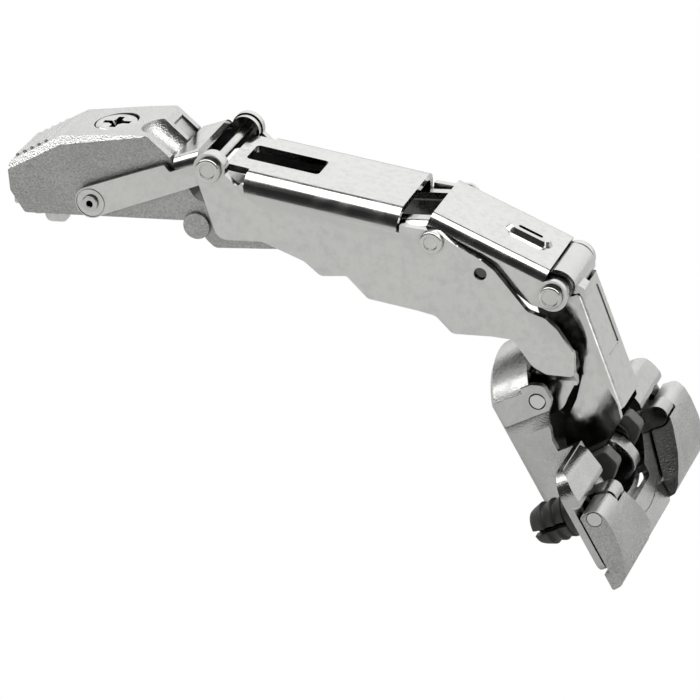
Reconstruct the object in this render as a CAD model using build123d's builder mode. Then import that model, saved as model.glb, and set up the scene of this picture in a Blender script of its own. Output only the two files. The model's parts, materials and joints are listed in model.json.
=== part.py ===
from build123d import *
import math
import os

os.makedirs("parts", exist_ok=True)

# Sheet, gaps and fits
sheet = 1.3
cup_link_sheet = 1.2
cover_sheet = 0.75
side_gap = 0.2
running_gap = 0.05
open_pivot_gap = 0.15
bend_lap = 0.7
edge_break = 0.25
pin_edge = 0.2
through = 40.0

# Layers across the hinge, as half widths from the mid-plane
arm_half = 7.9
link_inner = arm_half + side_gap
link_outer = link_inner + sheet
channel_inner = link_outer + side_gap
channel_outer = channel_inner + sheet
cup_link_outer = 6.0
cup_link_inner = cup_link_outer - cup_link_sheet
tail_outer = 8.8
tail_inner = tail_outer - sheet

# Pivots in the side view, fully open
rear_pivot = (-2.85, 3.2)
top_pivot = (21.5, 11.4)
crossing_pivot = (62.45, -0.3)
knuckle_pivot = (83.3, -10.3)
cup_pivot = (80.5, -29.3)
nose_pivot = (35.1, 0.0)
foot_pivot = (88.59, -44.28)

# Pins
rear_rivet_r = 1.1
rear_rivet_head_r = 1.45
rear_rivet_head = 0.7
rear_rivet_hollow_r = 0.6
top_pin_r = 0.9
crossing_pin_r = 1.25
knuckle_pin_r = 1.3
cup_pin_r = 1.6
nose_pin_r = 1.2
foot_pin_r = 1.2
foot_pin_half = 6.1

# Cup frame: x runs away from the arm along the door, z is the door's inner face normal
cup_tilt = 25.0
cup_centre = (86.34, 0, -36.88)
tilt = math.radians(cup_tilt)
door_dir = (math.sin(tilt), 0, -math.cos(tilt))
face_dir = (math.cos(tilt), 0, math.sin(tilt))
cup_plane = Plane(origin=cup_centre, x_dir=door_dir, z_dir=face_dir)
cup_side = Plane(origin=cup_centre, x_dir=door_dir, z_dir=(0, -1, 0))

# Cup and flange
cup_r = 17.5
cup_depth = 11.0
cup_floor_chamfer = 1.2
cup_wall = 1.3
cup_flat = 13.0
cup_inner_flat = cup_flat - cup_wall
barrel_top = -2.5
plate = 1.3
dowel_spacing = 45.0
flange_end = 5.25
flange_half = dowel_spacing / 2 + flange_end
wing_start = 0.7
wing_end = 7.2
wing_top = 3.05
wing_profile = [
    (wing_start, 0), (wing_start, 1.1), (1.9, 2.3), (wing_end - 1.1, wing_top),
    (wing_end, wing_top - 0.25), (wing_end, 0),
]
wing_radii = [0, 0.4, 2.0, 1.0, 0.4, 0]
wing_inner = 13.2
wing_corner = 5.0
plate_end = 19.9
tongue_end = 24.0
tongue_half = 9.3
plate_corner = 2.0
tongue_corner = 1.0
arc_r = 20.5
arc_width = 0.3
arc_depth = 0.15

# Fixing levers
lever_pin_at = (10.1, 3.95)
lever_pin_r = 1.4
lever_inner = 9.6
lug_r = 1.95
lug_span = (15.4, 19.8)
lever_swing_gap = 0.3
lever_pin_from = 16.4

# Dowels
dowel_at = (9.5, dowel_spacing / 2)
dowel_r = 4.0
dowel_root_r = 3.4
dowel_length = 9.0
dowel_bore_r = 1.6
dowel_seat_depth = 0.3
dowel_seat_gap = 0.08
collar_end = -1.9
barb_count = 3


def upright(point):
    """A side-view point as a point in space on the mid-plane."""
    return (point[0], 0, point[1])


def both_sides(point, half):
    """The same side-view point on the near and the far side."""
    return [(point[0], -half, point[1]), (point[0], half, point[1])]


def arch_points(outer, height, thickness):
    """Section across a folded sheet: a web with a bend down each side."""
    inner = outer - thickness
    return [
        (-outer, -height), (-outer, 0), (outer, 0), (outer, -height),
        (inner, -height), (inner, -thickness), (-inner, -thickness), (-inner, -height),
    ]


def arch_radii(bend, thickness):
    """Corner radii that go with arch_points."""
    inside = bend - thickness
    return [0, bend, bend, 0, 0, inside, inside, 0]


def web_plane(start, angle):
    """Plane square to a web that starts at a side-view point and runs at an angle."""
    turn = math.radians(angle)
    return Plane(origin=upright(start), x_dir=(0, 1, 0), z_dir=(math.cos(turn), 0, math.sin(turn)))


def web_face(start, angle):
    """Plane lying on a web's outer surface, its x along the web."""
    square = web_plane(start, angle)
    return Plane(origin=square.origin, x_dir=square.z_dir, z_dir=square.y_dir)


# Arm casting
arm_outline = [
    (-19.2, 4.3), (-19.2, 9.6), (-8.3, 14.9), (3.0, 15.8), (8.9, 16.0), (12.9, 12.1),
    (17.0, 4.4), (21.8, 2.4), (35.1, 2.9), (38.2, 2.2), (38.7, 0.0), (38.2, -2.2), (35.1, -3.6), (31.8, -4.7),
    (19.9, -5.1), (18.1, -3.2), (18.1, -1.1), (17.1, -0.4), (15.4, 0.0), (-16.8, 0.0),
]
arm_radii = [0.6, 1.2, 0, 0, 1.0, 0.8, 2.0, 2.0, 0, 1.5, 0, 1.5, 0, 0, 1.6, 1.2, 0.4, 0.4, 0, 0.8]
cavity_half = 6.3
cavity_top = 11.4
cavity_rear = -17.2
cavity_profile = [
    (cavity_rear, -1.0), (cavity_rear, 8.8), (-12.3, cavity_top),
    (8.8, cavity_top), (14.0, 6.85), (14.0, -1.0),
]
cavity_corner = 1.0
screw_head_r = 4.0
screw_head_top = 15.4
screw_head_height = 2.2
screw_shank_r = 2.5
screw_shank_end = 7.4
recess_gap = 0.2
shank_bore_length = 4.0
rib_r = 0.45
rib_length = 10.6
rear_mouth = (5.0, 9.6, 6.4)
rear_mouth_at = (-18.2, 0, 2.6)
rib_points = [(-18.0, 10.12), (-16.5, 10.85), (-15.0, 11.58), (-13.5, 12.31), (-12.0, 13.04)]
rear_bevel_points = [(-19.2, -6.6, 9.6), (-8.3, -6.6, 14.9), (-8.3, -7.9, 13.6)]
top_bevel_points = [(-8.3, -6.6, 14.9), (-8.3, -7.9, 13.6), (9.0, -7.9, 15.9)]
scoop_at = (10.0, -2.6, 17.2)
scoop_r = 4.1
scoop_length = 12.0
scoop_fall = 41.3
far_pocket = (2.2, 6.6)
far_pocket_profile = [(10.2, 17.0), (10.2, 14.2), (15.2, 8.7), (18.5, 12.0)]
hub_at = (16.9, -0.8)
hub_r = 2.5
hub_half = 8.5


def bevel_plane(points):
    """Plane through three points, its normal turned up and away from the mid-plane."""
    first, second, third = [Vector(*point) for point in points]
    normal = (second - first).cross(third - first)
    if normal.Z < 0:
        normal = -normal
    return Plane(origin=first, z_dir=normal)


with BuildPart() as arm_casting:
    with BuildSketch(Plane.XZ):
        with BuildLine():
            FilletPolyline(*arm_outline, radius=arm_radii, close=True)
        make_face()
    extrude(amount=arm_half, both=True)
    for points in (rear_bevel_points, top_bevel_points):
        split(bisect_by=bevel_plane(points), keep=Keep.BOTTOM)
        split(bisect_by=bevel_plane([(x, -y, z) for x, y, z in points]), keep=Keep.BOTTOM)
    with BuildSketch(Plane.XZ):
        with BuildLine():
            FilletPolyline(*cavity_profile, radius=cavity_corner, close=True)
        make_face()
    extrude(amount=cavity_half, both=True, mode=Mode.SUBTRACT)
    with Locations(rear_mouth_at):
        Box(*rear_mouth, mode=Mode.SUBTRACT)
    with Locations((0, 0, screw_head_top - screw_head_height - running_gap)):
        Cylinder(screw_head_r + recess_gap, screw_head_top, align=(Align.CENTER, Align.CENTER, Align.MIN),
                 mode=Mode.SUBTRACT)
    with Locations((0, 0, cavity_top)):
        Cylinder(screw_shank_r + recess_gap, shank_bore_length, mode=Mode.SUBTRACT)
    with Locations(*[(x, 0, z) for x, z in rib_points]):
        Cylinder(rib_r, rib_length, rotation=(90, 0, 0))
    with Locations(scoop_at):
        Sphere(scoop_r, mode=Mode.SUBTRACT)
        Cylinder(scoop_r, scoop_length, rotation=(0, 90 + scoop_fall, 0),
                 align=(Align.CENTER, Align.CENTER, Align.MIN), mode=Mode.SUBTRACT)
    with BuildSketch(Plane.XZ.offset(-far_pocket[1])):
        with BuildLine():
            Polyline(*far_pocket_profile, close=True)
        make_face()
    extrude(amount=far_pocket[1] - far_pocket[0], mode=Mode.SUBTRACT)
    with Locations(upright(hub_at)):
        Cylinder(hub_r, 2 * hub_half, rotation=(90, 0, 0))
    with Locations(upright(nose_pivot)):
        Cylinder(nose_pin_r, through, rotation=(90, 0, 0), mode=Mode.SUBTRACT)
    with Locations(upright(rear_pivot)):
        Cylinder(rear_rivet_r, through, rotation=(90, 0, 0), mode=Mode.SUBTRACT)
arm_casting.part.label = "arm_casting"
export_step(arm_casting.part, "parts/arm_casting.step")


# Adjusting screw
cross_length = 5.2
cross_width = 1.2
cross_depth = 1.7
cross_mouth_r = 1.35
cross_point_r = 0.2
cross_point_depth = 3.0

with BuildPart() as adjusting_screw:
    with Locations((0, 0, screw_head_top)):
        Cylinder(screw_head_r, screw_head_height, align=(Align.CENTER, Align.CENTER, Align.MAX))
    chamfer(adjusting_screw.edges().group_by(Axis.Z)[-1], edge_break)
    with Locations((0, 0, screw_head_top)):
        Cylinder(screw_shank_r, screw_head_top - screw_shank_end, align=(Align.CENTER, Align.CENTER, Align.MAX))
    with Locations((0, 0, screw_head_top)):
        Box(cross_length, cross_width, 2 * cross_depth, mode=Mode.SUBTRACT)
        Box(cross_width, cross_length, 2 * cross_depth, mode=Mode.SUBTRACT)
        Cone(cross_point_r, cross_mouth_r, cross_point_depth, align=(Align.CENTER, Align.CENTER, Align.MAX),
             mode=Mode.SUBTRACT)
adjusting_screw.part.label = "adjusting_screw"
export_step(adjusting_screw.part, "parts/adjusting_screw.step")

# Clip carriage inside the arm
carriage_half = 6.1
carriage_outline = [
    (-15.6, 1.4), (-15.9, -0.9), (-14.2, -0.9), (-13.8, 0.4), (-13.4, -2.3), (-9.4, -2.3), (-8.7, 0.4),
    (-6.5, 0.9), (10.0, 0.9), (10.0, 7.6), (-15.6, 7.6),
]
carriage_radii = [0, 0.5, 0.5, 0.3, 1.2, 1.2, 0.3, 0, 0.5, 0, 0]
carriage_web_from = -8.0
carriage_web_length = 18.0
carriage_web_top = 9.9
carriage_bend = 2.3
carriage_fold = 3.2
clip_pin_at = (-12.6, 4.4)
clip_pin_r = 0.9

with BuildPart() as clip_carriage:
    with BuildSketch(Plane.XZ.offset(carriage_half - sheet)):
        with BuildLine():
            FilletPolyline(*carriage_outline, radius=carriage_radii, close=True)
        make_face()
        with Locations(clip_pin_at):
            Circle(clip_pin_r, mode=Mode.SUBTRACT)
    extrude(amount=sheet)
    mirror(about=Plane.XZ)
    with BuildSketch(web_plane((carriage_web_from, carriage_web_top), 0)):
        with BuildLine():
            FilletPolyline(*arch_points(carriage_half, carriage_fold, sheet),
                           radius=arch_radii(carriage_bend, sheet), close=True)
        make_face()
    extrude(amount=carriage_web_length)
    with Locations((0, 0, carriage_web_top)):
        Cylinder(screw_shank_r + running_gap, shank_bore_length, mode=Mode.SUBTRACT)
clip_carriage.part.label = "clip_carriage"
export_step(clip_carriage.part, "parts/clip_carriage.step")

# Clip lever
clip_lever_outline = [
    (-20.2, 1.8), (-20.3, 0.2), (-17.3, 0.0), (-15.0, 0.9), (-11.0, 1.4), (-9.6, 3.4),
    (-10.0, 5.6), (-12.6, 6.5), (-15.4, 4.4), (-17.2, 2.2),
]
clip_lever_half = 4.4
spring_pocket_r = 2.4
spring_pocket_width = 4.4
clip_lever_radii = [0.5, 0.5, 0.5, 0.5, 1.0, 1.0, 1.0, 1.8, 1.0, 0.5]

with BuildPart() as clip_lever:
    with BuildSketch(Plane.XZ):
        with BuildLine():
            FilletPolyline(*clip_lever_outline, radius=clip_lever_radii, close=True)
        make_face()
        with Locations(clip_pin_at):
            Circle(clip_pin_r + running_gap, mode=Mode.SUBTRACT)
    extrude(amount=clip_lever_half, both=True)
    with Locations(upright(clip_pin_at)):
        Cylinder(spring_pocket_r, spring_pocket_width, rotation=(90, 0, 0), mode=Mode.SUBTRACT)
clip_lever.part.label = "clip_lever"
export_step(clip_lever.part, "parts/clip_lever.step")

with BuildPart() as clip_pin:
    with Locations(upright(clip_pin_at)):
        Cylinder(clip_pin_r, 2 * carriage_half, rotation=(90, 0, 0))
clip_pin.part.label = "clip_pin"
export_step(clip_pin.part, "parts/clip_pin.step")

# Clip spring, a small close-wound coil round the clip pin
clip_coil_r = 1.45
clip_wire_r = 0.25
clip_turns = 6
wire_lap = 0.94

with BuildPart() as clip_spring:
    clip_coil_middle = (clip_turns - 1) / 2
    clip_coil_y = [(turn - clip_coil_middle) * 2 * clip_wire_r * wire_lap for turn in range(clip_turns)]
    with Locations(*[(clip_pin_at[0], y, clip_pin_at[1]) for y in clip_coil_y]):
        Torus(clip_coil_r, clip_wire_r, rotation=(90, 0, 0))
clip_spring.part.label = "clip_spring"
export_step(clip_spring.part, "parts/clip_spring.step")

# Rear rivets, one each side, hollow
with BuildPart() as rear_rivets:
    rivet_length = link_outer - cavity_half
    with Locations(*both_sides(rear_pivot, cavity_half + rivet_length / 2)):
        Cylinder(rear_rivet_r, rivet_length, rotation=(90, 0, 0))
    with Locations(*both_sides(rear_pivot, link_outer + rear_rivet_head / 2)):
        Cylinder(rear_rivet_head_r, rear_rivet_head, rotation=(90, 0, 0))
    with Locations(*both_sides(rear_pivot, link_outer)):
        Cylinder(rear_rivet_hollow_r, 2 * sheet, rotation=(90, 0, 0), mode=Mode.SUBTRACT)
rear_rivets.part.label = "rear_rivets"
export_step(rear_rivets.part, "parts/rear_rivets.step")

# Nose pin
with BuildPart() as nose_pin:
    with Locations(upright(nose_pivot)):
        Cylinder(nose_pin_r, 2 * link_outer, rotation=(90, 0, 0))
    chamfer(nose_pin.edges().filter_by(GeomType.CIRCLE), pin_edge)
nose_pin.part.label = "nose_pin"
export_step(nose_pin.part, "parts/nose_pin.step")

# Rear link
rear_ear_r = 3.0
rear_top_ear_r = 2.8
rear_wall = [
    (-3.8, 6.05), (5.5, 9.1), (12.2, 11.2), (13.2, 9.9), (18.6, 11.6), (19.0, 12.7),
    (22.4, 8.75), (18.5, 7.57), (-0.4, 1.05), (-1.9, 0.35),
]
rear_web_start = (13.7, 12.27)
rear_web_angle = 17.4
rear_web_length = 5.0
rear_bend = 2.4
rear_radii = [0, 0, 0.4, 0.4, 0.4, 0, 0, 0, 0, 0]
ring_r = 2.7
ring_width = 0.22
ring_depth = 0.15

with BuildPart() as rear_link:
    with BuildSketch(Plane.XZ.offset(link_inner)):
        with BuildLine():
            FilletPolyline(*rear_wall, radius=rear_radii, close=True)
        make_face()
        with Locations(rear_pivot):
            Circle(rear_ear_r)
        with Locations(top_pivot):
            Circle(rear_top_ear_r)
        with Locations(rear_pivot):
            Circle(rear_rivet_r + running_gap, mode=Mode.SUBTRACT)
        with Locations(top_pivot):
            Circle(top_pin_r + running_gap, mode=Mode.SUBTRACT)
    extrude(amount=sheet)
    with BuildSketch(Plane.XZ.offset(link_outer - ring_depth)):
        with Locations(rear_pivot):
            Circle(ring_r + ring_width / 2)
            Circle(ring_r - ring_width / 2, mode=Mode.SUBTRACT)
    extrude(amount=sheet, mode=Mode.SUBTRACT)
    mirror(about=Plane.XZ)
    with BuildSketch(web_plane(rear_web_start, rear_web_angle)):
        with BuildLine():
            FilletPolyline(*arch_points(link_outer, rear_bend + bend_lap, sheet),
                           radius=arch_radii(rear_bend, sheet), close=True)
        make_face()
    extrude(amount=rear_web_length)
rear_link.part.label = "rear_link"
export_step(rear_link.part, "parts/rear_link.step")

# Main channel
channel_ear_r = 3.0
channel_bend = 3.8
channel_web_start = (26.7, 10.6)
channel_web_angle = -10.9
channel_arch_start = (27.8, 10.39)
channel_arch_length = 29.25
channel_tongue_start = (23.4, 11.24)
channel_tongue_length = 5.0
channel_tongue_half = 7.1
channel_wall = [
    (19.1, 9.7), (19.3, 8.1), (21.8, -2.1), (30.3, -2.1), (38.0, -5.5), (40.9, -8.2), (45.8, -7.9),
    (49.5, -12.1), (58.6, -13.85), (62.0, -14.7), (64.9, -18.0), (72.2, -18.1), (76.1, -18.5),
    (79.4, -23.5), (81.9, -24.9), (87.0, -25.1), (87.2, -20.8), (84.4, -16.1), (82.3, -14.05),
    (79.1, -12.9), (73.5, -5.3), (71.1, -3.35), (67.0, -1.1), (63.5, 1.5), (56.6, 2.4), (56.4, 1.0),
    (27.8, 6.5), (27.6, 9.3), (26.5, 8.2), (24.3, 10.6),
]
channel_radii = [0, 0, 2.4, 2, 2, 1.5, 1, 1.5, 4, 1.5, 1.5, 0, 1.2, 3, 1.5, 0.8, 2.5, 0, 1.5,
                 1.8, 3, 3, 3, 1.0, 0, 0, 0, 0.3, 0.8, 0]
window_middle = 5.9
window_length = 13.8
window_half = 3.2
window_corner = 0.8
channel_hole = (70.94, -6.1)
channel_hole_r = 1.2
tail_ear_r = 4.4
tail_step = [(channel_outer, -24.7), (channel_inner, -24.2), (tail_inner, -26.2), (tail_inner, -27.6),
             (tail_outer, -27.6), (tail_outer, -26.8)]
tail_step_from = 79.9
tail_step_length = 6.9
tail_neck = [(tail_step_from, -26.6), (86.8, -26.6), (84.75, -30.4), (76.25, -30.4), (76.4, -27.7)]

with BuildPart() as main_channel:
    with BuildSketch(Plane.XZ.offset(channel_inner)):
        with BuildLine():
            FilletPolyline(*channel_wall, radius=channel_radii, close=True)
        make_face()
        with Locations(top_pivot):
            Circle(channel_ear_r)
        with Locations(top_pivot):
            Circle(top_pin_r, mode=Mode.SUBTRACT)
        with Locations(crossing_pivot):
            Circle(crossing_pin_r, mode=Mode.SUBTRACT)
        with Locations(channel_hole):
            Circle(channel_hole_r, mode=Mode.SUBTRACT)
    extrude(amount=sheet)
    with BuildSketch(Plane.YZ.offset(tail_step_from)):
        with BuildLine():
            Polyline(*[(-y, z) for y, z in tail_step], close=True)
        make_face()
    extrude(amount=tail_step_length)
    with BuildSketch(Plane.XZ.offset(tail_inner)):
        with BuildLine():
            Polyline(*tail_neck, close=True)
        make_face()
        with Locations(cup_pivot):
            Circle(tail_ear_r)
        with Locations(cup_pivot):
            Circle(cup_pin_r + running_gap, mode=Mode.SUBTRACT)
    extrude(amount=sheet)
    mirror(about=Plane.XZ)
    with BuildSketch(web_plane(channel_arch_start, channel_web_angle)):
        with BuildLine():
            FilletPolyline(*arch_points(channel_outer, channel_bend + bend_lap, sheet),
                           radius=arch_radii(channel_bend, sheet), close=True)
        make_face()
    extrude(amount=channel_arch_length)
    with BuildSketch(Plane(origin=upright(channel_tongue_start), x_dir=(0, 1, 0),
                           z_dir=web_plane(channel_tongue_start, channel_web_angle).z_dir)):
        Rectangle(2 * channel_tongue_half, sheet, align=(Align.CENTER, Align.MAX))
    extrude(amount=channel_tongue_length)
    with BuildSketch(web_face(channel_web_start, channel_web_angle).offset(sheet)):
        with Locations((window_middle, 0)):
            RectangleRounded(window_length, 2 * window_half, window_corner)
    extrude(amount=-3 * sheet, mode=Mode.SUBTRACT)
main_channel.part.label = "main_channel"
export_step(main_channel.part, "parts/main_channel.step")


def headed_pin(pivot, pin_r, head_from, head, head_r, dish_r):
    """Rivet across the hinge with a rolled head and a shallow dish at each end."""
    with BuildPart() as pin:
        with Locations(upright(pivot)):
            Cylinder(pin_r, 2 * head_from + head, rotation=(90, 0, 0))
        with Locations(*both_sides(pivot, head_from + head / 2)):
            Cylinder(head_r, head, rotation=(90, 0, 0))
        rims = pin.edges().filter_by(GeomType.CIRCLE)
        fillet([rims.sort_by(Axis.Y)[0], rims.sort_by(Axis.Y)[-1]], head_roll)
        with Locations(*both_sides(pivot, head_from + head)):
            Cylinder(dish_r, 2 * dish_depth, rotation=(90, 0, 0), mode=Mode.SUBTRACT)
    return pin.part


# Rivets at the top, crossing and knuckle pivots
head_roll = 0.35
dish_depth = 0.25
rivet_head = 1.15
top_head_r = 2.3
top_dish_r = 1.4
crossing_head_r = 2.1
crossing_dish_r = 1.25
knuckle_head_r = 2.1
knuckle_dish_r = 1.5

top_rivet = headed_pin(top_pivot, top_pin_r, channel_outer, rivet_head, top_head_r, top_dish_r)
top_rivet.label = "top_rivet"
export_step(top_rivet, "parts/top_rivet.step")

crossing_rivet = headed_pin(crossing_pivot, crossing_pin_r, channel_outer, rivet_head,
                            crossing_head_r, crossing_dish_r)
crossing_rivet.label = "crossing_rivet"
export_step(crossing_rivet, "parts/crossing_rivet.step")

knuckle_rivet = headed_pin(knuckle_pivot, knuckle_pin_r, link_outer, rivet_head,
                           knuckle_head_r, knuckle_dish_r)
knuckle_rivet.label = "knuckle_rivet"
export_step(knuckle_rivet, "parts/knuckle_rivet.step")

# Front lever
lever_bend = 2.4
eye_centre = (36.31, -1.2)
eye_path_r = 1.71
eye_r = eye_path_r + nose_pin_r + open_pivot_gap
eye_wall = 0.95
knuckle_ear_r = 2.95
lever_web_start = (62.05, 3.98)
lever_web_angle = -25.7
lever_web_length = 23.06
lever_wall = [
    (62.1, 1.4), (82.2, -8.6), (85.6, -8.6), (81.7, -12.75), (79.5, -12.2), (76.2, -9.6), (72.6, -6.3),
    (69.0, -5.2),
    (60.0, -4.9), (46.0, -3.6), (36.6, -5.1), (36.6, 2.7), (43.9, -0.6), (61.0, -0.6), (61.4, 0.8),
]
lever_radii = [0, 0, 0, 0, 2.0, 1.5, 1.5, 2.0, 3.0, 4.0, 0, 0, 0, 0, 0]
rear_arch_bend = 3.2
rear_arch_top = 2.3
rear_arch_from = 44.0
rear_arch_length = 18.3
rear_gap_from = 52.0
rear_gap_to = 61.2
rear_gap_half = 5.2
louvre_at = (16.4, 0.5)
louvre_length = 9.2
louvre_width = 4.2
louvre_height = 0.9
louvre_taper = 38
louvre_slit_length = 4.8
louvre_slit = 0.9

with BuildPart() as front_lever:
    with BuildSketch(Plane.XZ.offset(link_inner)):
        with BuildLine():
            FilletPolyline(*lever_wall, radius=lever_radii, close=True)
        make_face()
        with Locations(eye_centre):
            Circle(eye_r + eye_wall)
        with Locations(knuckle_pivot):
            Circle(knuckle_ear_r)
        with Locations(eye_centre):
            Circle(eye_r, mode=Mode.SUBTRACT)
    extrude(amount=sheet)
    mirror(about=Plane.XZ)
    with BuildSketch(web_plane(lever_web_start, lever_web_angle)):
        with BuildLine():
            FilletPolyline(*arch_points(link_outer, lever_bend + bend_lap, sheet),
                           radius=arch_radii(lever_bend, sheet), close=True)
        make_face()
    extrude(amount=lever_web_length)
    with BuildSketch(web_plane((rear_arch_from, rear_arch_top), 0)):
        with BuildLine():
            FilletPolyline(*arch_points(link_outer, rear_arch_bend, sheet),
                           radius=arch_radii(rear_arch_bend - edge_break, sheet), close=True)
        make_face()
    extrude(amount=rear_arch_length)
    with BuildSketch(Plane.XY):
        with Locations(((rear_gap_from + rear_gap_to) / 2, 0)):
            RectangleRounded(rear_gap_to - rear_gap_from, 2 * rear_gap_half, bend_lap)
    extrude(amount=rear_arch_top + sheet, mode=Mode.SUBTRACT)
    with BuildSketch(web_face(lever_web_start, lever_web_angle)):
        with Locations(louvre_at):
            SlotOverall(louvre_length, louvre_width)
    extrude(amount=louvre_height, taper=louvre_taper)
    with BuildSketch(web_face(lever_web_start, lever_web_angle).offset(2 * louvre_height)):
        with Locations(louvre_at):
            SlotOverall(louvre_slit_length, louvre_slit)
    extrude(amount=-4 * louvre_height - sheet, mode=Mode.SUBTRACT)
    with Locations(upright(crossing_pivot)):
        Cylinder(crossing_pin_r + running_gap, through, rotation=(90, 0, 0), mode=Mode.SUBTRACT)
    with Locations(upright(knuckle_pivot)):
        Cylinder(knuckle_pin_r, through, rotation=(90, 0, 0), mode=Mode.SUBTRACT)
front_lever.part.label = "front_lever"
export_step(front_lever.part, "parts/front_lever.step")

# Spacers at the knuckle
spacer_r = 2.7

with BuildPart() as knuckle_spacers:
    with Locations(*both_sides(knuckle_pivot, (cup_link_outer + link_inner) / 2)):
        Cylinder(spacer_r, link_inner - cup_link_outer - 2 * running_gap, rotation=(90, 0, 0))
        Cylinder(knuckle_pin_r, 2 * spacer_r, rotation=(90, 0, 0), mode=Mode.SUBTRACT)
knuckle_spacers.part.label = "knuckle_spacers"
export_step(knuckle_spacers.part, "parts/knuckle_spacers.step")

# Cup link
cup_link_bend = 1.6
cup_link_ear_r = 3.0
cup_link_top_ear_r = 2.9
cup_link_web_start = (87.58, -11.2)
cup_link_web_angle = -73.5
cup_link_web_length = 22.9
panel_middle = 7.6
panel_length = 11.8
panel_half = 3.3
panel_depth = 0.18
panel_corner = 0.6
cup_link_wall = [
    (80.6, -9.2), (80.5, -11.5), (79.5, -13.9), (80.0, -16.2), (83.2, -18.8), (86.3, -22.0), (87.0, -27.0),
    (85.6, -31.8),
    (82.8, -37.2), (83.4, -41.8), (86.2, -46.0), (90.6, -45.6), (89.9, -41.2), (93.7, -35.1), (93.2, -32.4),
    (89.9, -25.6), (86.3, -13.0), (85.4, -10.4), (83.3, -9.0),
]
cup_link_radii = [0, 0.6, 1.2, 1.5, 3, 3, 2, 4, 2, 2, 0, 0, 1.0, 0.5, 0, 0, 0, 0, 0]

with BuildPart() as cup_link:
    with BuildSketch(Plane.XZ.offset(cup_link_inner)):
        with BuildLine():
            FilletPolyline(*cup_link_wall, radius=cup_link_radii, close=True)
        make_face()
        with Locations(knuckle_pivot):
            Circle(cup_link_top_ear_r)
        with Locations(foot_pivot):
            Circle(cup_link_ear_r)
    extrude(amount=cup_link_sheet)
    mirror(about=Plane.XZ)
    with BuildSketch(web_plane(cup_link_web_start, cup_link_web_angle)):
        with BuildLine():
            FilletPolyline(*arch_points(cup_link_outer, cup_link_bend + bend_lap, cup_link_sheet),
                           radius=arch_radii(cup_link_bend, cup_link_sheet), close=True)
        make_face()
    extrude(amount=cup_link_web_length)
    with BuildSketch(web_face(cup_link_web_start, cup_link_web_angle).offset(cup_link_sheet)):
        with Locations((panel_middle, 0)):
            RectangleRounded(panel_length, 2 * panel_half, panel_corner)
    extrude(amount=-panel_depth - cup_link_sheet, mode=Mode.SUBTRACT)
    with Locations(upright(knuckle_pivot)):
        Cylinder(knuckle_pin_r + running_gap, through, rotation=(90, 0, 0), mode=Mode.SUBTRACT)
    with Locations(upright(foot_pivot)):
        Cylinder(foot_pin_r, through, rotation=(90, 0, 0), mode=Mode.SUBTRACT)
cup_link.part.label = "cup_link"
export_step(cup_link.part, "parts/cup_link.step")

# Foot pin
with BuildPart() as foot_pin:
    with Locations(upright(foot_pivot)):
        Cylinder(foot_pin_r, 2 * foot_pin_half, rotation=(90, 0, 0))
    chamfer(foot_pin.edges().filter_by(GeomType.CIRCLE), pin_edge)
foot_pin.part.label = "foot_pin"
export_step(foot_pin.part, "parts/foot_pin.step")

# Knuckle cover, a bent strip that rides on the cup link, with a hook at its near end
cover_half = 6.2
cover_r = 3.75
cover_from = -12.0
cover_to = 96.0
cover_hook_length = 3.6
cover_hook = [
    (86.6, -11.0), (87.5, -10.9), (88.15, -11.75), (88.75, -11.55), (88.55, -10.1), (87.6, -9.35),
    (86.6, -9.6),
]
cover_hook_radii = [0, 0, 0.2, 0.2, 0.6, 0.4, 0]

with BuildPart() as knuckle_cover:
    with BuildSketch(Plane.XZ):
        with BuildLine():
            rim_out = CenterArc(knuckle_pivot, cover_r, cover_from, cover_to - cover_from)
            rim_in = CenterArc(knuckle_pivot, cover_r - cover_sheet, cover_from, cover_to - cover_from)
            Line(rim_out @ 1, rim_in @ 1)
            Line(rim_out @ 0, rim_in @ 0)
        make_face()
    extrude(amount=cover_half, both=True)
    with BuildSketch(Plane.XZ.offset(cover_half - cover_hook_length)):
        with BuildLine():
            FilletPolyline(*cover_hook, radius=cover_hook_radii, close=True)
        make_face()
    extrude(amount=cover_hook_length)
knuckle_cover.part.label = "knuckle_cover"
export_step(knuckle_cover.part, "parts/knuckle_cover.step")

# Stop blocks fixed in the cup, and the spring leaf carried by the foot pin
foot_at = (7.72, -1.09)
block_span = (6.3, 9.3)
block_outline = [(4.9, 3.1), (8.2, 4.2), (11.0, 1.2), (11.0, -9.0), (6.0, -9.0)]
block_radii = [0.8, 1.2, 1.0, 0, 0]
leaf_span = (-4.4, -0.8)
leaf_wall_gap = 1.3
leaf_tip = cup_r - cup_wall - leaf_wall_gap
leaf_outline = [
    (6.9, 0.4), (7.7, 1.3), (9.5, 2.1), (leaf_tip - 3.3, 2.5), (leaf_tip - 1.6, 2.1), (leaf_tip, -0.8),
    (leaf_tip - 0.5, -1.1), (leaf_tip - 1.9, 1.6), (leaf_tip - 3.3, 2.0), (9.7, 1.6), (8.9, 0.2),
]
leaf_radii = [0, 1.5, 2.0, 2.5, 1.2, 0.2, 0.2, 0.8, 2.0, 1.5, 0]
leaf_ring_r = foot_pin_r + 0.6

with BuildPart() as stop_blocks:
    with BuildSketch(cup_side.offset(block_span[0])):
        with BuildLine():
            FilletPolyline(*block_outline, radius=block_radii, close=True)
        make_face()
    extrude(amount=block_span[1] - block_span[0])
    mirror(about=Plane.XZ)
stop_blocks.part.label = "stop_blocks"
export_step(stop_blocks.part, "parts/stop_blocks.step")

with BuildPart() as spring_leaf:
    with BuildSketch(cup_side.offset(leaf_span[0])):
        with BuildLine():
            FilletPolyline(*leaf_outline, radius=leaf_radii, close=True)
        make_face()
        with Locations(foot_at):
            Circle(leaf_ring_r)
    extrude(amount=leaf_span[1] - leaf_span[0])
    with Locations(upright(foot_pivot)):
        Cylinder(foot_pin_r, through, rotation=(90, 0, 0), mode=Mode.SUBTRACT)
spring_leaf.part.label = "spring_leaf"
export_step(spring_leaf.part, "parts/spring_leaf.step")

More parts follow.
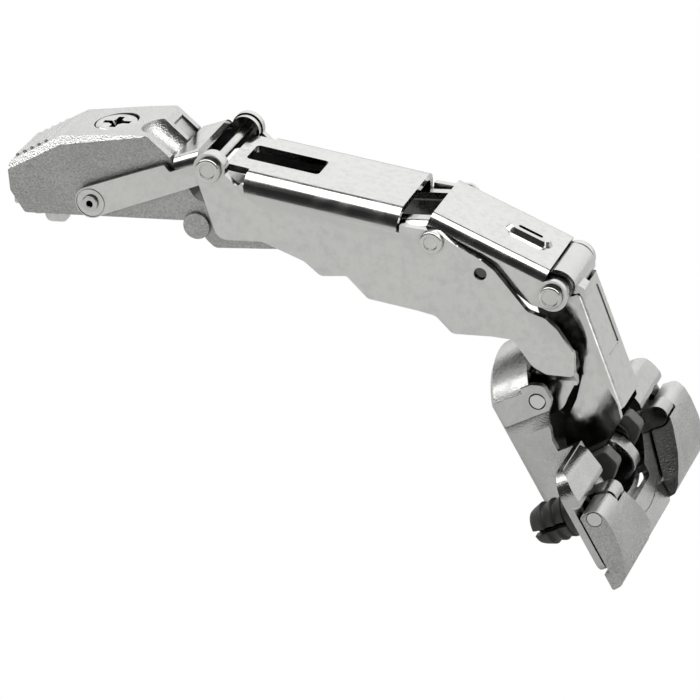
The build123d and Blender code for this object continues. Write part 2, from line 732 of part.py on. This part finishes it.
# Cup casting with its flange
lug_profile = [
    (-12.6, -4.0), (-12.6, -1.6), (-11.6, 0.4), (-8.4, 0.4), (-6.3, -1.5), (-4.4, -2.5), (-4.4, -4.0),
]
lug_radii = [0, 0, 1.2, 1.2, 1.0, 0, 0]
dip_profile = [(-3.6, 1.0), (-3.6, -2.45), (-1.6, -3.2), (wing_start, -3.2), (wing_start, 1.0)]
groove = (-7.0, -4.1)
groove_depth = 0.9
ear_pocket_gap = 0.5
ear_pocket = (7.1, 9.2)
link_notch = (12.0, 17.3)
link_notch_half = 6.5
link_notch_depth = 0.4
link_notch_corner = 0.8
dowel_neck_r = 2.8

with BuildPart() as cup_casting:
    with BuildSketch(cup_plane.offset(-cup_depth)):
        Circle(cup_r)
        Rectangle(2 * cup_r, 2 * cup_flat, mode=Mode.INTERSECT)
    extrude(amount=cup_depth + barrel_top)
    cup_floor = cup_casting.faces().filter_by(cup_plane).sort_by(Axis(cup_plane.origin, cup_plane.z_dir))[0]
    chamfer(cup_floor.edges(), cup_floor_chamfer)
    with BuildSketch(cup_plane.offset(barrel_top)):
        Circle(cup_r)
        Rectangle(2 * cup_r, 2 * cup_flat, mode=Mode.INTERSECT)
        with Locations((wing_start + cup_r, 0)):
            Rectangle(2 * cup_r, 4 * cup_r, mode=Mode.INTERSECT)
    extrude(amount=-barrel_top)
    with BuildSketch(cup_side.offset(cup_inner_flat)):
        with BuildLine():
            FilletPolyline(*lug_profile, radius=lug_radii, close=True)
        make_face()
    near_lug = extrude(amount=cup_wall)
    mirror(near_lug, about=Plane.XZ)
    with BuildSketch(cup_side):
        with BuildLine():
            Polyline(*dip_profile, close=True)
        make_face()
    extrude(amount=cup_flat + cup_wall, both=True, mode=Mode.SUBTRACT)
    with BuildSketch(cup_plane):
        with Locations(((wing_start + plate_end) / 2, 0)):
            RectangleRounded(plate_end - wing_start, 2 * flange_half, plate_corner)
        with Locations(((wing_end + tongue_end) / 2, 0)):
            RectangleRounded(tongue_end - wing_end, 2 * tongue_half, tongue_corner)
    extrude(amount=plate)
    with BuildSketch(cup_side.offset(wing_inner)):
        with BuildLine():
            FilletPolyline(*wing_profile, radius=wing_radii, close=True)
        make_face()
    near_wing = extrude(amount=flange_half - wing_inner)
    mirror(near_wing, about=Plane.XZ)
    with BuildSketch(cup_plane.offset(-plate)):
        with Locations(*[(wing_start, side * flange_half) for side in (-1, 1)]):
            Rectangle(2 * wing_corner, 2 * wing_corner)
        with Locations(*[(wing_start + wing_corner, side * (flange_half - wing_corner)) for side in (-1, 1)]):
            Circle(wing_corner, mode=Mode.SUBTRACT)
    extrude(amount=wing_top + 3 * plate, mode=Mode.SUBTRACT)
    with BuildSketch(cup_plane.offset(plate - arc_depth)):
        Circle(arc_r + arc_width)
        Circle(arc_r, mode=Mode.SUBTRACT)
        with Locations((tongue_end, 0)):
            Rectangle(2 * (tongue_end - link_notch[1]), 2 * (tongue_half - arc_width), mode=Mode.INTERSECT)
    extrude(amount=plate, mode=Mode.SUBTRACT)
    with BuildSketch(cup_plane.offset(-cup_depth + cup_wall)):
        Circle(cup_r - cup_wall)
        Rectangle(2 * cup_r, 2 * cup_inner_flat, mode=Mode.INTERSECT)
    extrude(amount=cup_depth + wing_top, mode=Mode.SUBTRACT)
    with BuildSketch(cup_plane.offset(-2 * cup_depth)):
        for side in (-1, 1):
            with BuildLine():
                Polyline((groove[0], side * (cup_flat - groove_depth)), (groove[0], side * cup_r),
                         (groove[1], side * cup_r), (groove[1], side * cup_flat), close=True)
            make_face()
    extrude(amount=3 * cup_depth, mode=Mode.SUBTRACT)
    with BuildSketch(cup_side.offset(lug_span[0])):
        with BuildLine():
            Polyline((lever_pin_at[0] - lug_r, plate / 2), (lever_pin_at[0] - lug_r, lever_pin_at[1]),
                     (lever_pin_at[0] + lug_r, lever_pin_at[1]), (lever_pin_at[0] + lug_r, plate / 2), close=True)
        make_face()
        with Locations(lever_pin_at):
            Circle(lug_r)
    near_lever_lug = extrude(amount=lug_span[1] - lug_span[0])
    mirror(near_lever_lug, about=Plane.XZ)
    with BuildSketch(cup_side.offset(lever_pin_from)):
        with Locations(lever_pin_at):
            Circle(lever_pin_r)
    near_pin_hole = extrude(amount=lug_span[1] - lever_pin_from, mode=Mode.SUBTRACT)
    mirror(near_pin_hole, about=Plane.XZ, mode=Mode.SUBTRACT)
    with Locations(cup_plane):
        with Locations(*[(dowel_at[0], side * dowel_at[1], 0) for side in (-1, 1)]):
            Cylinder(dowel_neck_r, through, mode=Mode.SUBTRACT)
            Cylinder(dowel_r + dowel_seat_gap, 2 * dowel_seat_depth, mode=Mode.SUBTRACT)
    with BuildSketch(cup_plane.offset(-link_notch_depth)):
        with Locations(((link_notch[0] + link_notch[1]) / 2, 0)):
            RectangleRounded(link_notch[1] - link_notch[0], 2 * link_notch_half, link_notch_corner)
    extrude(amount=4 * plate, mode=Mode.SUBTRACT)
    with Locations(upright(cup_pivot)):
        Cylinder(cup_pin_r, through, rotation=(90, 0, 0), mode=Mode.SUBTRACT)
    with Locations(*both_sides(cup_pivot, sum(ear_pocket) / 2)):
        Cylinder(tail_ear_r + ear_pocket_gap, ear_pocket[1] - ear_pocket[0], rotation=(90, 0, 0),
                 mode=Mode.SUBTRACT)
cup_casting.part.label = "cup_casting"
export_step(cup_casting.part, "parts/cup_casting.step")

# Cup rivet
with BuildPart() as cup_rivet:
    with Locations(upright(cup_pivot)):
        Cylinder(cup_pin_r, 2 * cup_flat, rotation=(90, 0, 0))
    chamfer(cup_rivet.edges().filter_by(GeomType.CIRCLE), edge_break)
cup_rivet.part.label = "cup_rivet"
export_step(cup_rivet.part, "parts/cup_rivet.step")

# Closing springs round the cup rivet, one each side, close-wound
spring_coil_r = 2.45
spring_wire_r = 0.45
spring_turns = 5
spring_from = 1.6

with BuildPart() as closing_springs:
    spring_coil_y = [spring_from + turn * 2 * spring_wire_r * wire_lap for turn in range(spring_turns)]
    with Locations(*[(cup_pivot[0], y, cup_pivot[1]) for y in spring_coil_y]):
        Torus(spring_coil_r, spring_wire_r, rotation=(90, 0, 0))
    mirror(about=Plane.XZ)
closing_springs.part.label = "closing_springs"
export_step(closing_springs.part, "parts/closing_springs.step")

# Fixing levers
lever_profile = [
    (8.45, 2.4), (8.7, 5.2), (10.6, 5.95), (13.1, 6.1), (16.75, 5.75), (19.2, 5.1), (21.9, 3.9), (23.4, 2.4),
    (23.7, 0.5), (20.3, 0.5), (20.3, 1.6), (9.0, 1.6),
]
lever_radii_side = [0.5, 1.4, 0, 0, 3.0, 3.0, 1.5, 1.0, 0.4, 0, 0, 0.5]
lever_pocket_span = (17.5, 26.2)
lever_pocket = [(13.0, 1.0), (13.0, 4.3), (16.75, 4.1), (21.0, 2.3), (21.0, 1.0)]
lever_clear_r = lug_r + lever_swing_gap
lever_mouth = 1.0
lever_slant = [(8.0, -9.0), (8.0, -15.9), (11.6, -15.6), (20.6, -9.6), (20.6, -9.0)]

with BuildPart() as fixing_lever_near:
    with BuildSketch(cup_side.offset(lever_inner)):
        with BuildLine():
            FilletPolyline(*lever_profile, radius=lever_radii_side, close=True)
        make_face()
    extrude(amount=flange_half - lever_inner)
    with BuildSketch(cup_plane):
        with BuildLine():
            Polyline(*lever_slant, close=True)
        make_face()
    extrude(amount=through, mode=Mode.SUBTRACT)
    with BuildSketch(cup_side.offset(lever_pocket_span[0])):
        with BuildLine():
            Polyline(*lever_pocket, close=True)
        make_face()
    extrude(amount=lever_pocket_span[1] - lever_pocket_span[0], mode=Mode.SUBTRACT)
    with BuildSketch(cup_side.offset(lever_inner)):
        with Locations(lever_pin_at):
            Circle(lever_clear_r)
        with Locations((lever_pin_at[0] - lever_mouth / 2, lever_pin_at[1] - lever_clear_r)):
            Rectangle(2 * lever_clear_r + lever_mouth, 2 * lever_clear_r)
        with Locations((lever_pin_at[0] - lever_clear_r / 2 - lever_mouth / 2, lever_pin_at[1])):
            Rectangle(lever_clear_r + lever_mouth, 2 * lever_clear_r)
    extrude(amount=lug_span[1] - lever_inner + side_gap, mode=Mode.SUBTRACT)
    with Locations(cup_side.offset(lug_span[1])):
        with Locations((lever_pin_at[0], lever_pin_at[1], 0)):
            Cylinder(lever_pin_r + running_gap, through, mode=Mode.SUBTRACT)
fixing_lever_near.part.label = "fixing_lever_near"
export_step(fixing_lever_near.part, "parts/fixing_lever_near.step")

with BuildPart() as fixing_lever_far:
    mirror(fixing_lever_near.part, about=Plane.XZ)
fixing_lever_far.part.label = "fixing_lever_far"
export_step(fixing_lever_far.part, "parts/fixing_lever_far.step")

# Lever pins
with BuildPart() as lever_pins:
    pin_length = flange_half - lever_pin_from
    for side in (-1, 1):
        with Locations(cup_side.offset(side * (flange_half + lever_pin_from) / 2)):
            with Locations((lever_pin_at[0], lever_pin_at[1], 0)):
                Cylinder(lever_pin_r, pin_length)
lever_pins.part.label = "lever_pins"
export_step(lever_pins.part, "parts/lever_pins.step")

# Dowels, barbed, slit and bored for the expanders
dowel_tip = 0.8
barb_land = 0.35
dowel_slit = 0.9
barb_pitch = (dowel_length - dowel_tip + collar_end) / barb_count
dowel_profile = [
    (dowel_bore_r, -dowel_length), (dowel_root_r - dowel_tip / 2, -dowel_length),
    (dowel_root_r, -dowel_length + dowel_tip),
]
for barb in range(barb_count):
    barb_top = -dowel_length + dowel_tip + (barb + 1) * barb_pitch
    dowel_profile.append((dowel_r, barb_top - barb_land))
    dowel_profile.append((dowel_root_r, barb_top))
dowel_profile += [
    (dowel_r, collar_end), (dowel_r, -running_gap), (dowel_neck_r, -running_gap),
    (dowel_neck_r, plate), (dowel_bore_r, plate),
]
dowel_side = cup_side.offset(dowel_at[1])
dowel_axis = Axis(dowel_side.from_local_coords(Vector(dowel_at[0], 0, 0)), Vector(*face_dir))

with BuildPart() as dowel_near:
    with BuildSketch(dowel_side):
        with BuildLine():
            Polyline(*[(dowel_at[0] + r, n) for r, n in dowel_profile], close=True)
        make_face()
    revolve(axis=dowel_axis)
    with Locations(cup_plane):
        with Locations((dowel_at[0], -dowel_at[1], -dowel_length)):
            Box(dowel_slit, 3 * dowel_r, 2 * (dowel_length + collar_end), mode=Mode.SUBTRACT)
dowel_near.part.label = "dowel_near"
export_step(dowel_near.part, "parts/dowel_near.step")

with BuildPart() as dowel_far:
    mirror(dowel_near.part, about=Plane.XZ)
dowel_far.part.label = "dowel_far"
export_step(dowel_far.part, "parts/dowel_far.step")

# Expanders inside the dowels
expander_sink = 0.4

with BuildPart() as expanders:
    with Locations(cup_plane):
        with Locations(*[(dowel_at[0], side * dowel_at[1], expander_sink - dowel_length) for side in (-1, 1)]):
            Cylinder(dowel_bore_r - running_gap, dowel_length + plate - 2 * expander_sink,
                     align=(Align.CENTER, Align.CENTER, Align.MIN))
expanders.part.label = "expanders"
export_step(expanders.part, "parts/expanders.step")
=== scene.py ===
import json
import math
import bpy
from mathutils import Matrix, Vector

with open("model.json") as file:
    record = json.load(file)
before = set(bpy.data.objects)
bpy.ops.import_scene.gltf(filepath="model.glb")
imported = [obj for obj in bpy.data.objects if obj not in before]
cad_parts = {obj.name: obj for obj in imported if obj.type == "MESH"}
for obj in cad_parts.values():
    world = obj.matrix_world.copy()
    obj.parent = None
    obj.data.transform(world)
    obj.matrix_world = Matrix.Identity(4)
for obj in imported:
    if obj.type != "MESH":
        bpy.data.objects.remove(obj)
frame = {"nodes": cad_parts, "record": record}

MM = 0.001
CREVICE = 5 * MM
HOLLOW = 16 * MM
SAME_POINT = 0.001 * MM
FLAT_WITHIN = math.radians(0.6)
EDGE_FROM = math.radians(28)
FLOOR_SIZE = 6.0
FLOOR_PLACE = (0.03, 0, -0.075)
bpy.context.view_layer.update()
nodes = frame["nodes"]


# Node helpers
def link(tree, source, target):
    tree.links.new(source, target)


def add(tree, kind, **settings):
    node = tree.nodes.new(kind)
    for name, value in settings.items():
        if hasattr(node, name):
            setattr(node, name, value)
        else:
            node.inputs[name.replace("_", " ")].default_value = value
    return node


def ramp(tree, source, low, high, low_value=0.0, high_value=1.0):
    """Maps source from low..high to low_value..high_value, clamped and smooth."""
    node = add(tree, "ShaderNodeMapRange", interpolation_type="SMOOTHSTEP")
    node.inputs["From Min"].default_value = low
    node.inputs["From Max"].default_value = high
    node.inputs["To Min"].default_value = low_value
    node.inputs["To Max"].default_value = high_value
    link(tree, source, node.inputs["Value"])
    return node.outputs["Result"]


def noise(tree, vector, scale, detail=3.0, roughness=0.5):
    node = add(tree, "ShaderNodeTexNoise", Scale=scale, Detail=detail, Roughness=roughness)
    link(tree, vector, node.inputs["Vector"])
    return node.outputs["Fac"]


def math_node(tree, operation, first, second):
    node = add(tree, "ShaderNodeMath", operation=operation)
    for socket, value in zip(node.inputs, (first, second)):
        if isinstance(value, (int, float)):
            socket.default_value = value
        else:
            link(tree, value, socket)
    return node.outputs[0]


def blend_colour(tree, factor, first, second):
    node = add(tree, "ShaderNodeMix", data_type="RGBA")
    link(tree, factor, node.inputs["Factor"])
    for socket, value in zip((node.inputs[6], node.inputs[7]), (first, second)):
        if isinstance(value, tuple):
            socket.default_value = (*value, 1.0)
        else:
            link(tree, value, socket)
    return node.outputs[2]


def bump(tree, height, strength, distance):
    node = add(tree, "ShaderNodeBump", Strength=strength, Distance=distance)
    link(tree, height, node.inputs["Height"])
    return node.outputs["Normal"]


def new_group(name, inputs, outputs):
    """A shader node group with the given sockets, and its inner input and output nodes."""
    group = bpy.data.node_groups.new(name, "ShaderNodeTree")
    for label, kind, value in inputs:
        socket = group.interface.new_socket(label, in_out="INPUT", socket_type=kind)
        socket.default_value = value
    for label, kind in outputs:
        group.interface.new_socket(label, in_out="OUTPUT", socket_type=kind)
    return group, group.nodes.new("NodeGroupInput"), group.nodes.new("NodeGroupOutput")


def surface_marks():
    """Masks shared by every finish: tone, smudges, grain, pits, worn edges, painted shade in gaps and on
    inner faces, painted light on upward faces.
    """
    group, given, result = new_group(
        "surface marks",
        [("Grain Scale", "NodeSocketFloat", 3000.0)],
        [("Clouds", "NodeSocketFloat"), ("Smudges", "NodeSocketFloat"), ("Grain", "NodeSocketFloat"),
         ("Pits", "NodeSocketFloat"), ("Worn", "NodeSocketFloat"), ("Painted Shade Open", "NodeSocketFloat"),
         ("Inner Painted Shade", "NodeSocketFloat"), ("Upward Painted Light", "NodeSocketFloat")],
    )
    position = add(group, "ShaderNodeTexCoord").outputs["Object"]
    link(group, ramp(group, noise(group, position, 85.0, 4.0, 0.6), 0.36, 0.66), result.inputs["Clouds"])
    link(group, ramp(group, noise(group, position, 330.0, 4.0, 0.6), 0.38, 0.7), result.inputs["Smudges"])
    grain = add(group, "ShaderNodeTexNoise", Detail=2.0, Roughness=0.6)
    link(group, position, grain.inputs["Vector"])
    link(group, given.outputs["Grain Scale"], grain.inputs["Scale"])
    link(group, grain.outputs["Fac"], result.inputs["Grain"])
    pits = add(group, "ShaderNodeTexVoronoi", feature="F1", Scale=2100.0)
    link(group, position, pits.inputs["Vector"])
    link(group, ramp(group, pits.outputs["Distance"], 0.1, 0.45), result.inputs["Pits"])
    pointed = add(group, "ShaderNodeNewGeometry").outputs["Pointiness"]
    broken = noise(group, position, 700.0, 3.0, 0.6)
    worn = math_node(group, "MULTIPLY", ramp(group, pointed, 0.52, 0.6), ramp(group, broken, 0.3, 0.6))
    link(group, worn, result.inputs["Worn"])
    # Painted shade mask: ambient occlusion finds crevices within CREVICE and hollows within HOLLOW, where
    # the colour will be darkened.
    crevice = add(group, "ShaderNodeAmbientOcclusion", samples=8)
    crevice.inputs["Distance"].default_value = CREVICE
    hollow = add(group, "ShaderNodeAmbientOcclusion", samples=8)
    hollow.inputs["Distance"].default_value = HOLLOW
    lit = math_node(group, "MULTIPLY", ramp(group, crevice.outputs["AO"], 0.15, 0.85),
                    ramp(group, hollow.outputs["AO"], 0.05, 0.32))
    link(group, lit, result.inputs["Painted Shade Open"])
    # Painted shade mask: faces turned towards the part's mid-plane in Y, standing in for the shade inside
    # the channels.
    place = add(group, "ShaderNodeSeparateXYZ")
    link(group, position, place.inputs[0])
    facing = add(group, "ShaderNodeSeparateXYZ")
    link(group, add(group, "ShaderNodeTexCoord").outputs["Normal"], facing.inputs[0])
    inward = math_node(group, "MULTIPLY", place.outputs["Y"], facing.outputs["Y"])
    link(group, ramp(group, inward, -0.0015, -0.004), result.inputs["Inner Painted Shade"])
    # Painted light mask: faces turned upward.
    link(group, ramp(group, facing.outputs["Z"], 0.35, 0.8), result.inputs["Upward Painted Light"])
    return group


marks_group = surface_marks()


def marks(tree, grain_scale):
    node = tree.nodes.new("ShaderNodeGroup")
    node.node_tree = marks_group
    node.inputs["Grain Scale"].default_value = grain_scale
    return node.outputs


def new_material(name):
    material = bpy.data.materials.new(name)
    material.use_nodes = True
    return material, material.node_tree, material.node_tree.nodes["Principled BSDF"]


def metal(name, base, dark, rough, grain_scale, grain_depth, grain_tone=0.0, top_painted_light=0.0, pit_depth=0.0):
    """A plated metal: cloudy tone, fine grain, duller patches, brighter edges, painted shade in gaps and on
    inner faces, painted light on upward faces.
    """
    material, tree, shader = new_material(name)
    shader.inputs["Metallic"].default_value = 1.0
    mark = marks(tree, grain_scale)
    tone = blend_colour(tree, mark["Clouds"], dark, base)
    light = tuple(min(1.0, part * 1.12) for part in base)
    tone = blend_colour(tree, math_node(tree, "MULTIPLY", mark["Worn"], 0.6), tone, light)
    # Painted shade: crevices and hollows blend towards a near-black tone.
    tone = blend_colour(tree, mark["Painted Shade Open"], tuple(part * 0.12 for part in dark), tone)
    # Painted shade: inward-facing faces are darkened.
    tone = blend_colour(tree, mark["Inner Painted Shade"], tone, tuple(part * 0.16 for part in dark))
    grainy = math_node(tree, "MULTIPLY", ramp(tree, mark["Grain"], 0.36, 0.64, 1.0, 0.0), grain_tone)
    tone = blend_colour(tree, grainy, tone, tuple(part * 0.45 for part in dark))
    # Painted light: upward faces are lightened towards a brighter tone.
    painted_top_light = math_node(tree, "MULTIPLY", mark["Upward Painted Light"], top_painted_light)
    tone = blend_colour(tree, painted_top_light, tone, tuple(min(1.0, part * 1.3) for part in base))
    link(tree, tone, shader.inputs["Base Color"])
    duller = ramp(tree, mark["Smudges"], 0.0, 1.0, rough - 0.04, rough + 0.06)
    link(tree, math_node(tree, "SUBTRACT", duller, math_node(tree, "MULTIPLY", mark["Worn"], 0.06)),
         shader.inputs["Roughness"])
    relief = math_node(tree, "MULTIPLY", mark["Grain"], grain_depth)
    if pit_depth:
        relief = math_node(tree, "ADD", relief, math_node(tree, "MULTIPLY", mark["Pits"], pit_depth))
    link(tree, bump(tree, relief, 1.0, 1.0), shader.inputs["Normal"])
    return material


def plastic(name, base, light, rough):
    """A moulded plastic with faint mottling and a fine moulded grain."""
    material, tree, shader = new_material(name)
    mark = marks(tree, 5200.0)
    tone = blend_colour(tree, mark["Smudges"], base, light)
    paler = tuple(part * 1.6 for part in light)
    link(tree, blend_colour(tree, mark["Worn"], tone, paler), shader.inputs["Base Color"])
    link(tree, ramp(tree, mark["Grain"], 0.3, 0.7, rough - 0.06, rough + 0.08), shader.inputs["Roughness"])
    relief = math_node(tree, "MULTIPLY", mark["Grain"], 0.000015)
    link(tree, bump(tree, relief, 1.0, 1.0), shader.inputs["Normal"])
    return material


sheet_metal = metal("plated sheet", (0.80, 0.80, 0.785), (0.765, 0.765, 0.755), 0.19, 2600.0, 0.000004, 0.06)
# The plated casting gets painted light on its upward faces.
cast_metal = metal("plated casting", (0.67, 0.67, 0.66), (0.58, 0.58, 0.57), 0.33, 3000.0, 0.00009,
                   grain_tone=0.44, top_painted_light=0.7, pit_depth=0.00003)
cup_metal = metal("polished casting", (0.70, 0.70, 0.69), (0.62, 0.62, 0.61), 0.22, 3400.0, 0.00004, 0.16)
rivet_metal = metal("turned rivet", (0.84, 0.84, 0.82), (0.72, 0.72, 0.70), 0.20, 3200.0, 0.000006)
spring_metal = metal("drawn spring steel", (0.55, 0.55, 0.54), (0.40, 0.40, 0.39), 0.25, 3000.0, 0.000006)
dark_plastic = plastic("dark dowel plastic", (0.040, 0.040, 0.038), (0.065, 0.065, 0.062), 0.42)
grey_plastic = plastic("grey plastic", (0.10, 0.10, 0.098), (0.14, 0.14, 0.135), 0.40)

finish = {
    "nickel_sheet": sheet_metal,
    "cast_metal": cast_metal,
    "rivet_steel": rivet_metal,
    "spring_steel": spring_metal,
    "dark_plastic": dark_plastic,
    "grey_plastic": grey_plastic,
}
slots = {part["node"]: part["material_slot"] for part in frame["record"]["subparts"]}
for name, node in nodes.items():
    node.data.materials.clear()
    node.data.materials.append(cup_metal if name == "cup_casting" else finish[slots[name]])

# Soft edges on the CAD pieces
softness = {"arm_casting": 0.35, "cup_casting": 0.3, "fixing_lever_near": 0.35, "fixing_lever_far": 0.35}
for name, node in nodes.items():
    merge = node.modifiers.new("weld", "WELD")
    merge.merge_threshold = SAME_POINT
    flat = node.modifiers.new("flat faces", "DECIMATE")
    flat.decimate_type = "DISSOLVE"
    flat.angle_limit = FLAT_WITHIN
    soft = node.modifiers.new("soft edges", "BEVEL")
    soft.width = softness.get(name, 0.18) * MM
    soft.segments = 3
    soft.limit_method = "ANGLE"
    soft.angle_limit = EDGE_FROM
    soft.harden_normals = False
    even = node.modifiers.new("even shading", "WEIGHTED_NORMAL")
    even.keep_sharp = False
    for polygon in node.data.polygons:
        polygon.use_smooth = True

# Floor and studio light
bpy.ops.mesh.primitive_plane_add(size=FLOOR_SIZE, location=FLOOR_PLACE)
floor = bpy.context.object
floor.name = "studio floor"
floor_material = bpy.data.materials.new("white floor")
floor_material.use_nodes = True
floor_tree = floor_material.node_tree
floor_shader = floor_tree.nodes["Principled BSDF"]
floor_shader.inputs["Base Color"].default_value = (0.56, 0.56, 0.555, 1.0)
floor_shader.inputs["Roughness"].default_value = 0.9
glow = add(floor_tree, "ShaderNodeEmission", Strength=1.0)
seen = add(floor_tree, "ShaderNodeLightPath").outputs["Is Camera Ray"]
mixed = add(floor_tree, "ShaderNodeMixShader")
link(floor_tree, seen, mixed.inputs[0])
link(floor_tree, floor_shader.outputs[0], mixed.inputs[1])
link(floor_tree, glow.outputs[0], mixed.inputs[2])
link(floor_tree, mixed.outputs[0], floor_tree.nodes["Material Output"].inputs["Surface"])
floor.data.materials.append(floor_material)

# The room by angle over the hinge, from the back horizon over the top to the front horizon
room_levels = [
    (0.0, 0.80), (24.0, 0.96), (44.0, 1.0), (51.0, 0.10), (62.0, 0.10), (67.0, 2.4), (106.0, 2.4),
    (112.0, 0.08), (140.0, 0.02), (168.0, 0.03), (180.0, 0.12),
]
world = bpy.data.worlds.new("studio")
bpy.context.scene.world = world
world.use_nodes = True
sky = world.node_tree
background = sky.nodes["Background"]
background.inputs["Color"].default_value = (1.0, 1.0, 0.995, 1.0)
direction = add(sky, "ShaderNodeTexCoord").outputs["Generated"]
parts = add(sky, "ShaderNodeSeparateXYZ")
link(sky, direction, parts.inputs[0])
turn = math_node(sky, "ARCTAN2", parts.outputs["Z"], parts.outputs["Y"])
turn = math_node(sky, "DIVIDE", math_node(sky, "ABSOLUTE", turn, 0.0), math.pi)
panels = add(sky, "ShaderNodeValToRGB")
brightest = max(level for angle, level in room_levels)
stops = panels.color_ramp.elements
for angle, level in room_levels:
    shade = level / brightest
    stop = stops[0] if angle == 0.0 else stops[-1] if angle == 180.0 else stops.new(angle / 180.0)
    stop.color = (shade, shade, shade, 1.0)
link(sky, turn, panels.inputs["Fac"])
room = math_node(sky, "MULTIPLY", panels.outputs["Color"], brightest)
ends = math_node(sky, "ABSOLUTE", parts.outputs["X"], 0.0)
room = math_node(sky, "MULTIPLY", room, ramp(sky, ends, 0.82, 0.93, 1.0, 0.08))
camera_ray = add(sky, "ShaderNodeLightPath").outputs["Is Camera Ray"]
level = add(sky, "ShaderNodeMix", data_type="FLOAT")
link(sky, camera_ray, level.inputs[0])
link(sky, room, level.inputs[2])
level.inputs[3].default_value = 1.0
link(sky, level.outputs[0], background.inputs["Strength"])


def softbox(name, place, aim, width, height, power):
    lamp = bpy.data.lights.new(name, "AREA")
    lamp.shape = "RECTANGLE"
    lamp.size = width
    lamp.size_y = height
    lamp.energy = power
    lamp_object = bpy.data.objects.new(name, lamp)
    bpy.context.scene.collection.objects.link(lamp_object)
    lamp_object.location = place
    lamp_object.rotation_euler = (Vector(aim) - Vector(place)).to_track_quat("-Z", "Y").to_euler()
    return lamp_object


middle = (0.045, 0.0, -0.01)
softbox("right strip", (0.9, -0.25, 0.25), middle, 0.2, 0.7, 0.5)

# Camera at the photograph's place
camera_data = bpy.data.cameras.new("photo view")
camera_data.sensor_width = 36.0
camera_data.lens = 222.58
camera_data.clip_start = 0.05
camera = bpy.data.objects.new("photo view", camera_data)
bpy.context.scene.collection.objects.link(camera)
camera.location = (0.29597, -0.67819, 0.29046)
camera.rotation_euler = (math.radians(66.219), math.radians(4.6714), math.radians(18.5386))
bpy.context.scene.camera = camera
bpy.context.scene.view_settings.view_transform = "Standard"
